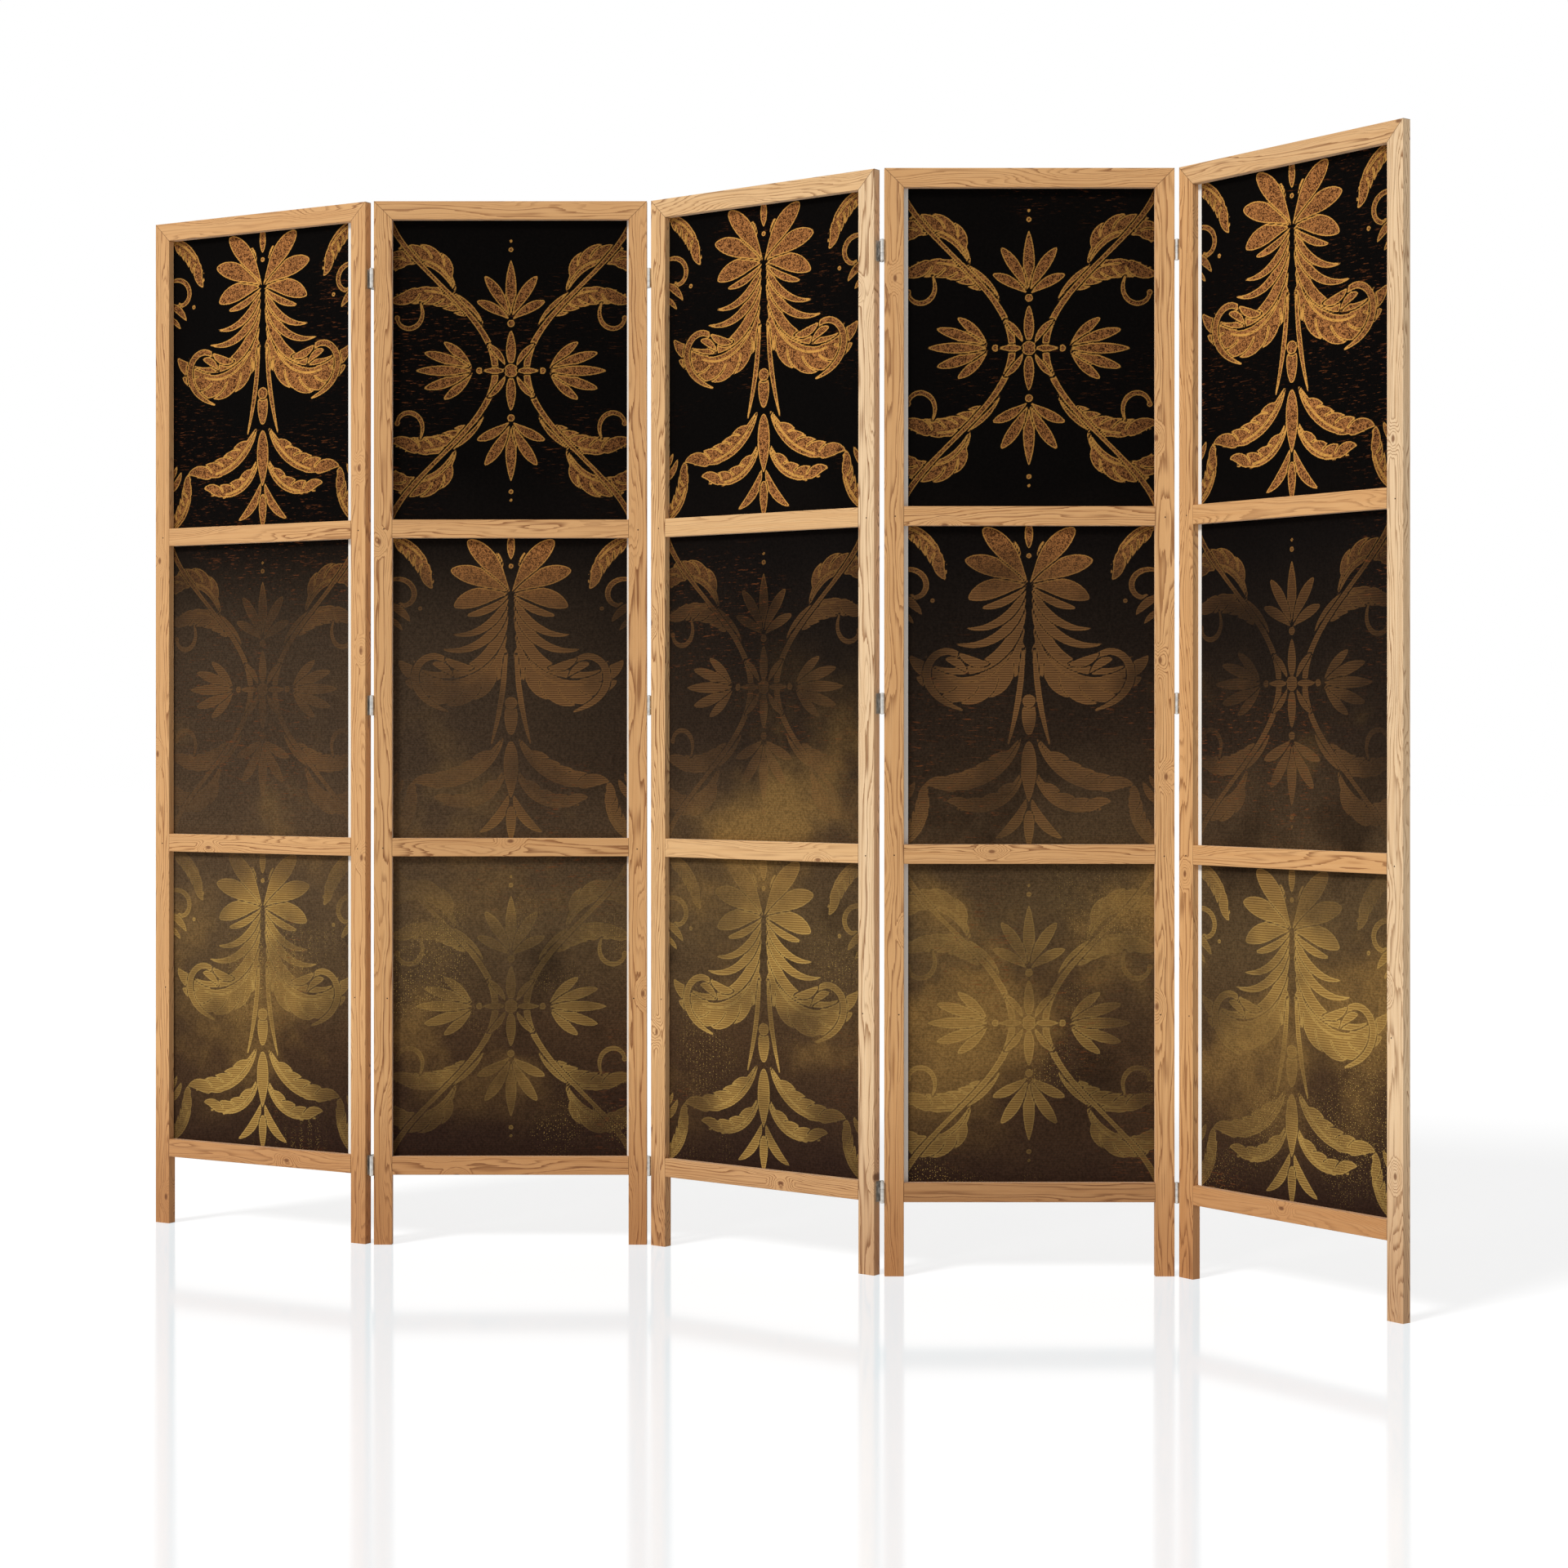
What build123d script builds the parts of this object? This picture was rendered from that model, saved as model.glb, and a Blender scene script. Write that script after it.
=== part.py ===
from build123d import *
from math import asin, atan2, cos, degrees, radians, sin, sqrt, tan
import os

os.makedirs("parts", exist_ok=True)

# Folding screen of five timber frames in a zigzag row, each holding one stretched sheet.
# Millimetres. X runs along the row to the viewer's right, Y points away from the viewer,
# Z is up from the floor, and the origin is under the middle of the row as it stands.

# Timber frame of one panel
panel_width = 450.0
panel_height = 1720.0
frame_width = 30.0      # face of the two stiles and of the mitred top rail
frame_depth = 16.0      # front face to back face
rail_width = 30.0       # face of the two middle rails and of the bottom rail
leg_height = 115.0      # floor to the underside of the bottom rail
edge_ease = 0.6         # bevel on every long edge of the timber

# Sheet, and the beads that hold its edges in a rebate at the back
rebate_depth = 4.0
rebate_width = 7.0
sheet_thickness = 0.6
sheet_margin = 1.0      # sheet's edge to the wall of the rebate
sheet_play = 0.05       # each side of the sheet
bead_play = 0.3         # bead's edge to the wall of the rebate, and to the next bead
bead_bevel = 1.5

# Double-action hinge: a front pin and a back pin, joined by a link in the gap
hinge_height = 32.0
knuckle_count = 3       # on each pin, taken in turn by leaf and link
knuckle_play = 0.3      # between neighbouring knuckles, and round them
pin_diameter = 4.0
pin_play = 0.05         # between pin and knuckle, on the radius
pin_proud = 0.8         # pin's axis in front of the face plane, so that folded faces clear
pin_end = 0.6           # pin's end beyond the knuckles
leaf_thickness = 1.4

# Where the hinges sit on the stiles
top_hinge_drop = 127.0      # panel's top to the hinge's middle
middle_hinge_drop = 831.0

# How far each of the four lines is folded as the screen stands, from the left
rest_folds = (29.0, 37.0, 37.0, 53.0)

# Sizes that follow
bottom_rail_top = leg_height + rail_width
top_rail_underside = panel_height - frame_width
field_height = (top_rail_underside - bottom_rail_top - 2 * rail_width) / 3
sheet_plane = frame_depth - rebate_depth
bead_plane = sheet_plane + sheet_thickness + 2 * sheet_play
rebate_left = frame_width - rebate_width
rebate_low = bottom_rail_top - rebate_width
rebate_high = top_rail_underside + rebate_width
knuckle_bore = pin_diameter / 2 + pin_play
knuckle_radius = knuckle_bore + leaf_thickness
gap = 2 * knuckle_radius
pin_spread = frame_depth + 2 * pin_proud
bottom_hinge_drop = panel_height - leg_height - rail_width / 2
hinge_drops = (top_hinge_drop, middle_hinge_drop, bottom_hinge_drop)


def block(x, y, z):
    """A box given by its low and high ends along each axis."""
    size = [high - low for low, high in (x, y, z)]
    return Pos(x[0], y[0], z[0]) * Box(*size, align=(Align.MIN, Align.MIN, Align.MIN))


def planed_section(width, height):
    """A section of planed timber with eased corners, its low corner on the origin."""
    square = Pos(width / 2, height / 2) * Rectangle(width, height)
    return chamfer(square.vertices(), edge_ease)


def upright(face, depth, length):
    """Planed timber that stands on the floor, with its front face on Y zero."""
    return extrude(planed_section(face, depth), amount=length)


def crosspiece(face, depth, left, right, underside):
    """Planed timber that lies across the panel, with its front face on Y zero."""
    section = Plane.YZ * planed_section(depth, face)
    return Pos(left, 0, underside) * extrude(section, amount=right - left)


def mitre_wedge(corners):
    """The waste outside a mitre, from its three corners on the face."""
    face = Plane.XZ * make_face(Polyline(*corners, close=True))
    return extrude(face, amount=-frame_depth)


def mirrored(shape):
    """The same piece on the other side of the panel."""
    return Pos(panel_width, 0, 0) * mirror(shape, about=Plane.YZ)


def stile_left():
    """A stile from floor to top, mitred above and rebated at the back where the sheet sits."""
    timber = upright(frame_width, frame_depth, panel_height)
    timber -= mitre_wedge([(0, panel_height), (frame_width, panel_height),
                           (frame_width, top_rail_underside)])
    timber -= block((rebate_left, frame_width), (sheet_plane, frame_depth),
                    (rebate_low, panel_height))
    return timber


def rail_top():
    """The top rail, mitred into both stiles and rebated at the back."""
    timber = crosspiece(frame_width, frame_depth, 0, panel_width, top_rail_underside)
    wedge = mitre_wedge([(0, panel_height), (0, top_rail_underside),
                         (frame_width, top_rail_underside)])
    timber -= wedge
    timber -= mirrored(wedge)
    timber -= block((0, panel_width), (sheet_plane, frame_depth),
                    (top_rail_underside, rebate_high))
    return timber


def rail_bottom():
    """The bottom rail, butted between the stiles above the legs and rebated at the back."""
    timber = crosspiece(rail_width, frame_depth, frame_width, panel_width - frame_width, leg_height)
    timber -= block((frame_width, panel_width - frame_width), (sheet_plane, frame_depth),
                    (rebate_low, bottom_rail_top))
    return timber


def rail_middle(fields_below):
    """A middle rail, which crosses in front of the sheet above so many of its fields."""
    underside = bottom_rail_top + fields_below * field_height + (fields_below - 1) * rail_width
    return crosspiece(rail_width, sheet_plane, frame_width, panel_width - frame_width, underside)


def sheet():
    """The stretched sheet, which lies between the rebate's floor and the beads."""
    edge = rebate_left + sheet_margin
    front = sheet_plane + sheet_play
    return block((edge, panel_width - edge), (front, front + sheet_thickness),
                 (rebate_low + sheet_margin, rebate_high - sheet_margin))


def bead_section():
    """A bead's section: wall of the rebate on X zero, bevelled where it faces the opening."""
    width = rebate_width - bead_play
    depth = frame_depth - bead_plane
    corners = [(0, 0), (width, 0), (width, depth - bead_bevel), (width - bead_bevel, depth), (0, depth)]
    return make_face(Polyline(*corners, close=True))


def beads():
    """Four beads: two upright ones at full length, two between them."""
    low = rebate_low + bead_play
    high = rebate_high - bead_play
    wall = rebate_left + bead_play
    upright_bead = Pos(wall, bead_plane, low) * extrude(bead_section(), amount=high - low)
    left = frame_width + bead_play
    across = Plane(origin=(0, 0, 0), x_dir=(0, 0, 1), z_dir=(-1, 0, 0))
    laid = extrude(across * bead_section(), amount=2 * left - panel_width)
    bottom_bead = Pos(left, bead_plane, low) * laid
    top_bead = Pos(left, bead_plane, high) * mirror(laid, about=Plane.XY)
    return [upright_bead, mirrored(upright_bead), bottom_bead, top_bead]


def panel_pieces():
    """Every piece of one panel, by name, in the panel's own frame."""
    left = stile_left()
    return {
        "stile_left": [left],
        "stile_right": [mirrored(left)],
        "rail_top": [rail_top()],
        "rail_upper": [rail_middle(2)],
        "rail_lower": [rail_middle(1)],
        "rail_bottom": [rail_bottom()],
        "sheet": [sheet()],
        "beads": beads(),
    }


# The hinge's own frame has its origin in the middle of the gap, at half the frame's depth
# and half the hinge's height. Its front pin lies at Y minus half the pin spread.
strip_radius = knuckle_bore + leaf_thickness / 2
strip_tilt = asin(2 * strip_radius / pin_spread)
strip_length = pin_spread * cos(strip_tilt)
notch = sqrt((knuckle_radius + knuckle_play) ** 2 - knuckle_bore ** 2)
leaf_end = (knuckle_bore - knuckle_play - leaf_thickness / 2 / cos(strip_tilt)) / tan(strip_tilt)


def knuckle_spans(first):
    """Low and high ends of every second knuckle, starting from the given one."""
    pitch = hinge_height / knuckle_count
    for number in range(first, knuckle_count, 2):
        low = -hinge_height / 2 + number * pitch
        play_below = knuckle_play / 2 if number > 0 else 0
        play_above = knuckle_play / 2 if number < knuckle_count - 1 else 0
        yield low + play_below, low + pitch - play_above


def raised(section, low, high):
    """A section in plan, carried up from one height to another."""
    return Pos(0, 0, low) * extrude(section, amount=high - low)


def rolled_strip(length, side):
    """A strip in plan, rolled three quarters round a pin on the origin, then straight along Y."""
    ring = Circle(knuckle_radius) - Circle(knuckle_bore)
    seam = Pos(side * knuckle_radius / 2, knuckle_radius / 2) * Rectangle(knuckle_radius, knuckle_radius)
    straight = Pos(side * strip_radius, length / 2) * Rectangle(leaf_thickness, length)
    return ring - seam + straight


def flat_strip(length, side):
    """The same strip where it stops short of its neighbour's knuckle instead of rolling."""
    straight = Rectangle(leaf_thickness, length - notch)
    return Pos(side * strip_radius, (length + notch) / 2) * straight


def leaf():
    """The leaf on the left panel's edge, rolled round the front pin."""
    at_pin = Pos(0, -pin_spread / 2)
    length = leaf_end + pin_spread / 2
    plate = raised(at_pin * flat_strip(length, -1), -hinge_height / 2, hinge_height / 2)
    for low, high in knuckle_spans(0):
        plate += raised(at_pin * rolled_strip(length, -1), low, high)
    return plate


def link():
    """The link: a strip that crosses the gap from the front pin's right to the back pin's left."""
    at_pin = Pos(-strip_radius, -strip_length / 2)
    web = raised(at_pin * flat_strip(strip_length / 2, 1), -hinge_height / 2, hinge_height / 2)
    for low, high in knuckle_spans(1):
        web += raised(at_pin * rolled_strip(strip_length / 2, 1), low, high)
    return Rot(0, 0, degrees(strip_tilt)) * (web + Rot(0, 0, 180) * web)


def pin(pin_y):
    """A hinge pin, whose ends stand out of the knuckles."""
    return Pos(0, pin_y, 0) * Cylinder(pin_diameter / 2, hinge_height + 2 * pin_end)


def folds_on_back(line):
    """The lines fold on their back and front pins in turn, which makes the zigzag."""
    return line % 2 == 0


def headings():
    """How far each panel swings toward the viewer, with the row as a whole along X."""
    angles = [0.0]
    for line, fold in enumerate(rest_folds):
        angles.append(angles[-1] + (-fold if folds_on_back(line) else fold))
    along = sum(cos(radians(angle)) for angle in angles)
    across = sum(sin(radians(angle)) for angle in angles)
    turn = degrees(atan2(across, along))
    return [angle - turn for angle in angles]


def fold_pin_y(line):
    """The pin that a line is folded on, in the panel's own frame."""
    return frame_depth + pin_proud if folds_on_back(line) else -pin_proud


def panel_places():
    """Where each panel stands: the next one turns about the pin that its line is folded on."""
    angles = headings()
    places = [Rot(0, 0, -angles[0])]
    for line in range(len(rest_folds)):
        pin_y = fold_pin_y(line)
        to_pin = Pos(panel_width + gap / 2, pin_y, 0)
        turn = Rot(0, 0, angles[line] - angles[line + 1])
        places.append(places[-1] * to_pin * turn * Pos(gap / 2, -pin_y, 0))
    return places


def hinge_pieces(left_place, right_place, line):
    """Both leaves, the link and the pins of the three hinges on one line."""
    stance = Rot(180, 0, 0) if folds_on_back(line) else Rot(0, 0, 0)
    pieces = {"leaves_left": [], "leaves_right": [], "links": [], "pins": []}
    for drop in hinge_drops:
        on_left = left_place * Pos(panel_width + gap / 2, frame_depth / 2, panel_height - drop) * stance
        on_right = right_place * Pos(-gap / 2, frame_depth / 2, panel_height - drop) * stance
        pieces["leaves_left"].append(on_left * leaf())
        pieces["leaves_right"].append(on_right * Rot(0, 0, 180) * leaf())
        pieces["links"].append(on_right * link())
        for pin_y in (-pin_spread / 2, pin_spread / 2):
            pieces["pins"].append(on_right * pin(pin_y))
    return pieces


def standing_screen():
    """Every node of the screen as it stands, before it is set on the origin."""
    nodes = {}
    places = panel_places()
    for number, place in enumerate(places, start=1):
        for name, solids in panel_pieces().items():
            nodes[f"panel_{number}_{name}"] = [place * solid for solid in solids]
    for line in range(len(rest_folds)):
        for name, solids in hinge_pieces(places[line], places[line + 1], line).items():
            nodes[f"hinge_{line + 1}{line + 2}_{name}"] = solids
    return nodes


def onto_origin(nodes):
    """The move that sets the middle of the row's footprint on the origin."""
    boxes = [solid.bounding_box() for solids in nodes.values() for solid in solids]
    middle_x = (min(box.min.X for box in boxes) + max(box.max.X for box in boxes)) / 2
    middle_y = (min(box.min.Y for box in boxes) + max(box.max.Y for box in boxes)) / 2
    return Pos(-middle_x, -middle_y, 0)


screen = standing_screen()
set_down = onto_origin(screen)
for node, solids in screen.items():
    moved = [set_down * solid for solid in solids]
    export_step(moved[0] if len(moved) == 1 else Compound(moved), f"parts/{node}.step")
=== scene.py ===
from math import cos, pi, radians, sin

import bpy
import numpy as np
from mathutils import Matrix, Vector
from mathutils.geometry import delaunay_2d_cdt


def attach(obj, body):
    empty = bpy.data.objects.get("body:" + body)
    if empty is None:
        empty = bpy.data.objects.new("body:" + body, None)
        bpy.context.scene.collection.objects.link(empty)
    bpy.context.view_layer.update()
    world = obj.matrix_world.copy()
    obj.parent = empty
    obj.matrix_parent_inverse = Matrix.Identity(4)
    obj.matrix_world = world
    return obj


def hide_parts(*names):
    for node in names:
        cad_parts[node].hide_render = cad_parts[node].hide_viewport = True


# Folding screen: pine frames, a printed sheet in each, and nickel-plated hinges between them.
# Metres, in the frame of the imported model. The print's ornament is drawn in millimetres.

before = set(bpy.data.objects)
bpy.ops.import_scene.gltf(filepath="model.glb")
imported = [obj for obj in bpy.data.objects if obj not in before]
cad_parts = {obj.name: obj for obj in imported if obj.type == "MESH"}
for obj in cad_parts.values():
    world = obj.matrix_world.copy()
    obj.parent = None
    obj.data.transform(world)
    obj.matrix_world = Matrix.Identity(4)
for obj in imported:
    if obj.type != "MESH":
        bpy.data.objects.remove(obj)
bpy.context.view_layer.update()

PANELS = (1, 2, 3, 4, 5)
PANEL_WIDTH = 0.450
PANEL_HEIGHT = 1.720
MEMBER = 0.030          # face of every frame member
RAIL_HEIGHTS = {"rail_top": PANEL_HEIGHT - MEMBER, "rail_upper": 1.165, "rail_lower": 0.640,
                "rail_bottom": 0.115}      # lower edges
GAP = 0.0069            # between two panels' edges
HINGE_LINES = (12, 23, 34, 45)
HINGE_HEIGHTS = (1.593, 0.889, 0.130)
MM = 1000               # in a metre


# Places

def panel_frame(number):
    """Front lower left corner of a panel, its direction to the right and its direction to the back."""
    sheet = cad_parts[f"panel_{number}_sheet"]
    corners = np.array([v.co for v in sheet.data.vertices], float)[:, :2]
    middle = (corners.min(axis=0) + corners.max(axis=0)) / 2
    spread = np.linalg.eigh(np.cov(corners.T))[1][:, 1]
    along = spread * np.sign(spread[0])
    back = np.array([-along[1], along[0]])
    stile = np.array([v.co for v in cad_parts[f"panel_{number}_stile_left"].data.vertices])[:, :2]
    front = (stile @ back).min()
    corner = along * (middle @ along - PANEL_WIDTH / 2) + back * front
    return Vector((*corner, 0)), Vector((*along, 0)), Vector((*back, 0))


PLACES = {number: panel_frame(number) for number in PANELS}


def on_panel(number, x, y, z):
    """A point of the model from a panel's own coordinates."""
    corner, along, back = PLACES[number]
    return corner + along * x + back * y + Vector((0, 0, z))


# Shader nodes

def colour(red, green, blue):
    """A colour as it looks on screen, from 0 to 255, made linear."""
    parts = [value / 255 for value in (red, green, blue)]
    return tuple(p / 12.92 if p < 0.04045 else ((p + 0.055) / 1.055) ** 2.4 for p in parts) + (1.0,)


class Nodes:
    """Short calls that add nodes to a tree and wire their sockets."""

    def __init__(self, tree):
        self.tree = tree

    def feed(self, socket, value):
        if isinstance(value, bpy.types.NodeSocket):
            self.tree.links.new(value, socket)
        else:
            socket.default_value = value

    def add(self, kind, inputs=None, **settings):
        node = self.tree.nodes.new("ShaderNode" + kind)
        for name, value in settings.items():
            setattr(node, name, value)
        for name, value in (inputs or {}).items():
            self.feed(node.inputs[name], value)
        return node

    def math(self, operation, *values):
        node = self.add("Math", operation=operation)
        for socket, value in zip(node.inputs, values):
            self.feed(socket, value)
        return node.outputs[0]

    def vector(self, operation, *values, output="Vector"):
        node = self.add("VectorMath", operation=operation)
        for socket, value in zip(node.inputs, values):
            self.feed(socket, value)
        return node.outputs[output]

    def combine(self, x, y, z):
        return self.add("CombineXYZ", {"X": x, "Y": y, "Z": z}).outputs[0]

    def noise(self, place, scale, detail=2.0, roughness=0.5, distortion=0.0):
        return self.add("TexNoise", {"Vector": place, "Scale": scale, "Detail": detail,
                                     "Roughness": roughness, "Distortion": distortion}).outputs["Fac"]

    def stretch(self, place, x, y, z):
        return self.vector("MULTIPLY", place, (x, y, z))

    def span(self, value, low, high, to_low=0.0, to_high=1.0):
        """Goes smoothly from one value to another while the input goes from low to high."""
        if low > high:
            low, high, to_low, to_high = high, low, to_high, to_low
        return self.add("MapRange", {"Value": value, "From Min": low, "From Max": high,
                                     "To Min": to_low, "To Max": to_high},
                        interpolation_type="SMOOTHSTEP").outputs["Result"]

    def mix(self, share, first, second, blend="MIX"):
        node = self.add("Mix", data_type="RGBA", blend_type=blend)
        self.feed(node.inputs[0], share)
        self.feed(node.inputs[6], first)
        self.feed(node.inputs[7], second)
        return node.outputs[2]

    def ramp(self, value, stops):
        node = self.add("ValToRGB", {"Fac": value})
        points = node.color_ramp.elements
        for _ in stops[2:]:
            points.new(0.5)
        for point, (at, shade) in zip(points, stops):
            point.position = at
            point.color = shade
        return node.outputs["Color"]

    def bump(self, height, distance, strength=1.0):
        return self.add("Bump", {"Height": height, "Distance": distance,
                                 "Strength": strength}).outputs["Normal"]


def bare_nodes(holder):
    """The emptied node tree of a material or a world."""
    holder.use_nodes = True
    holder.node_tree.nodes.clear()
    return Nodes(holder.node_tree)


def new_material(name):
    """A new material, its nodes and its shader, which is wired to the output."""
    material = bpy.data.materials.new(name)
    nodes = bare_nodes(material)
    shader = nodes.add("BsdfPrincipled")
    nodes.add("OutputMaterial", {"Surface": shader.outputs[0]})
    return material, nodes, shader


def new_object(name, data):
    """A new object in the scene."""
    piece = bpy.data.objects.new(name, data)
    bpy.context.scene.collection.objects.link(piece)
    return piece


def dress(node, material):
    """Gives a CAD node its material without touching its mesh."""
    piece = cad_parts[node]
    for held in piece.material_slots:
        held.link = "OBJECT"
        held.material = material


# Pine

EARLY_WOOD = colour(209, 160, 106)
LATE_WOOD = colour(128, 79, 38)
KNOT = colour(112, 66, 32)
RING_SPACING = 2.5          # mm
PITH_DEPTH = 15.0           # how far behind the face the tree's middle was, mm
KNOT_CELL = (330.0, 60.0)   # at most one knot in so many mm along and across
KNOT_STRETCH = 1.9          # how much longer than wide a knot's swelling is


def pine_group():
    """Planed pine in a member's own millimetres: X along it, Y across its face, Z into it."""
    group = bpy.data.node_groups.new("pine", "ShaderNodeTree")
    for name, kind in (("Place", "NodeSocketVector"), ("Seed", "NodeSocketFloat"),
                       ("Tone", "NodeSocketColor"), ("Joint", "NodeSocketFloat"),
                       ("Height", "NodeSocketFloat")):
        group.interface.new_socket(name, in_out="INPUT", socket_type=kind)
    for name, kind in (("Color", "NodeSocketColor"), ("Roughness", "NodeSocketFloat"),
                       ("Normal", "NodeSocketVector")):
        group.interface.new_socket(name, in_out="OUTPUT", socket_type=kind)
    n = Nodes(group)
    given = group.nodes.new("NodeGroupInput").outputs
    result = group.nodes.new("NodeGroupOutput").inputs
    seed = n.math("MULTIPLY", given["Seed"], 37.3)
    place = given["Place"]
    own = n.vector("ADD", place, n.combine(n.math("MULTIPLY", seed, 31.0), seed, seed))
    parts = n.add("SeparateXYZ", {"Vector": place}).outputs
    wander = n.noise(n.stretch(own, 0.0032, 0.02, 0.02), 1.0, 2.0)
    across = n.math("SUBTRACT", parts["Y"], n.math("MULTIPLY_ADD", wander, 90.0, -30.0))
    depth = n.math("SUBTRACT", parts["Z"], PITH_DEPTH)
    pith = n.math("SQRT", n.math("ADD", n.math("MULTIPLY", across, across),
                                 n.math("MULTIPLY", depth, depth)))
    # knots, which push the rings aside
    long, wide = KNOT_CELL
    in_cells = n.stretch(own, 1 / long, 1 / wide, 0)
    cells = n.add("TexVoronoi", {"Vector": in_cells, "Scale": 1.0},
                  voronoi_dimensions="2D", feature="F1").outputs
    off = n.vector("SUBTRACT", in_cells, cells["Position"])
    from_knot = n.vector("LENGTH", n.stretch(off, long / KNOT_STRETCH, wide, 0), output="Value")
    lot = n.add("SeparateColor", {"Color": cells["Color"]}).outputs[0]
    chosen = n.math("GREATER_THAN", lot, 0.5)
    swell = n.math("MULTIPLY", chosen, n.span(from_knot, 17.0, 1.0, 0.0, 13.0))
    jitter = n.noise(n.stretch(own, 0.006, 0.35, 0.35), 1.0, 3.0)
    rings = n.math("DIVIDE", n.math("ADD", pith, swell), RING_SPACING)
    rings = n.math("ADD", rings, n.math("MULTIPLY", jitter, 1.0))
    phase = n.math("FRACT", rings)
    year = n.noise(n.combine(n.math("FLOOR", rings), seed, 0.5), 0.71, 0.0)
    late = n.math("MULTIPLY", n.span(phase, 0.52, 0.95), n.span(phase, 1.0, 0.97))
    late = n.math("MULTIPLY", late, n.span(year, 0.3, 0.7, 0.35, 1.0))
    # fine fibres, and slow changes of tone
    fibre = n.noise(n.stretch(own, 0.035, 2.6, 2.6), 1.0, 3.0, 0.65)
    streak = n.noise(n.stretch(own, 0.004, 0.16, 0.16), 1.0, 2.0)
    timber = n.mix(late, EARLY_WOOD, LATE_WOOD)
    timber = n.mix(n.span(fibre, 0.52, 0.74, 0.0, 0.20), timber, LATE_WOOD)
    timber = n.mix(n.span(fibre, 0.48, 0.26, 0.0, 0.25), timber, colour(230, 190, 142))
    timber = n.mix(n.span(streak, 0.35, 0.75, 0.0, 0.30), timber, colour(190, 134, 78))
    core = n.math("MULTIPLY", chosen, n.span(from_knot, 4.2, 1.4, 0.0, 0.85))
    timber = n.mix(core, timber, KNOT)
    timber = n.mix(1.0, timber, given["Tone"], "MULTIPLY")
    # painted shade: the wood darker near the floor; and the line where two members meet
    low_down = n.span(given["Height"], 0.34, 0.0, 0.0, 0.55)
    timber = n.mix(low_down, timber, colour(176, 132, 84), "MULTIPLY")
    timber = n.mix(n.span(given["Joint"], 0.75, 0.15, 0.0, 0.72), timber, colour(82, 52, 28))
    n.feed(result["Color"], timber)
    n.feed(result["Roughness"], n.math("MULTIPLY_ADD", late, -0.10, 0.62))
    relief = n.math("ADD", n.math("MULTIPLY", late, 0.5), n.math("MULTIPLY", fibre, 0.8))
    n.feed(result["Normal"], n.bump(relief, 0.00012, 0.55))
    return group


PINE = pine_group()


def pine(name, corner, rows, seed, tone=(1, 1, 1), joints=()):
    """Pine for one member. rows are its own axes, joints are lines (x, y, offset) on its face in mm."""
    material, n, shader = new_material(name)
    turn = Matrix(rows)
    shift = -(turn @ corner)
    place = n.add("Mapping", {"Vector": n.add("TexCoord").outputs["Object"], "Location": shift * MM,
                              "Rotation": turn.to_euler(), "Scale": (MM, MM, MM)}).outputs[0]
    height = n.add("SeparateXYZ", {"Vector": n.add("TexCoord").outputs["Object"]}).outputs["Z"]
    nearest = 100.0
    for x, y, offset in joints:
        reach = n.vector("DOT_PRODUCT", place, (x, y, 0), output="Value")
        nearest = n.math("MINIMUM", n.math("ABSOLUTE", n.math("SUBTRACT", reach, offset)), nearest)
    group = n.add("Group")
    group.node_tree = PINE
    for socket, value in (("Place", place), ("Seed", seed), ("Tone", (*tone, 1)), ("Joint", nearest),
                          ("Height", height)):
        n.feed(group.inputs[socket], value)
    for socket, output in (("Base Color", "Color"), ("Roughness", "Roughness"), ("Normal", "Normal")):
        n.feed(shader.inputs[socket], group.outputs[output])
    shader.inputs["Specular IOR Level"].default_value = 0.3
    return material


DIAGONAL = 0.5 ** 0.5

# Tones that multiply the pine's colour, for panels and members that the photo shows paler or darker
PALE = (1.18, 1.52, 2.2)
PANEL_TONES = {3: (1.07, 1.18, 1.32)}
TONES = {(3, "stile_right"): PALE, (5, "stile_right"): PALE, (3, "rail_top"): (1.10, 1.26, 1.5),
         (4, "stile_right"): (1.10, 1.14, 1.18), (5, "rail_top"): (1.04, 1.14, 1.3),
         (4, "rail_bottom"): (0.78, 0.78, 0.78), (2, "rail_lower"): (0.92, 0.90, 0.88)}


def dress_timber(number):
    """Gives a panel's members and beads pine that runs along them."""
    corner, along, back = PLACES[number]
    up = Vector((0, 0, 1))
    inner = (PANEL_WIDTH - MEMBER) * MM
    top = PANEL_HEIGHT * MM
    wide = MEMBER * MM
    mitre_left = (DIAGONAL, DIAGONAL, wide * DIAGONAL)
    mitre_right = (DIAGONAL, -DIAGONAL, inner * DIAGONAL)
    butts = ((1, 0, wide), (1, 0, inner))
    members = {
        "stile_left": (0, 0, True, ((DIAGONAL, DIAGONAL, top * DIAGONAL),)),
        "stile_right": (inner / MM, 0, True, ((DIAGONAL, -DIAGONAL, (top - wide) * DIAGONAL),)),
    }
    for rail, z in RAIL_HEIGHTS.items():
        members[rail] = (0, z, False, (mitre_left, mitre_right) if rail == "rail_top" else butts)
    for order, (member, (x, z, stands, joints)) in enumerate(members.items()):
        node = f"panel_{number}_{member}"
        rows = (up, along, back) if stands else (along, up, -back)
        tone = TONES.get((number, member), PANEL_TONES.get(number, (1, 1, 1)))
        dress(node, pine(node, on_panel(number, x, 0, z), rows, number * 7 + order, tone, joints))
    node = f"panel_{number}_beads"
    dress(node, pine(node, corner, (up, along, back), number * 7 + 6, (1.04, 1.05, 1.06)))


# Metal

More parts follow.
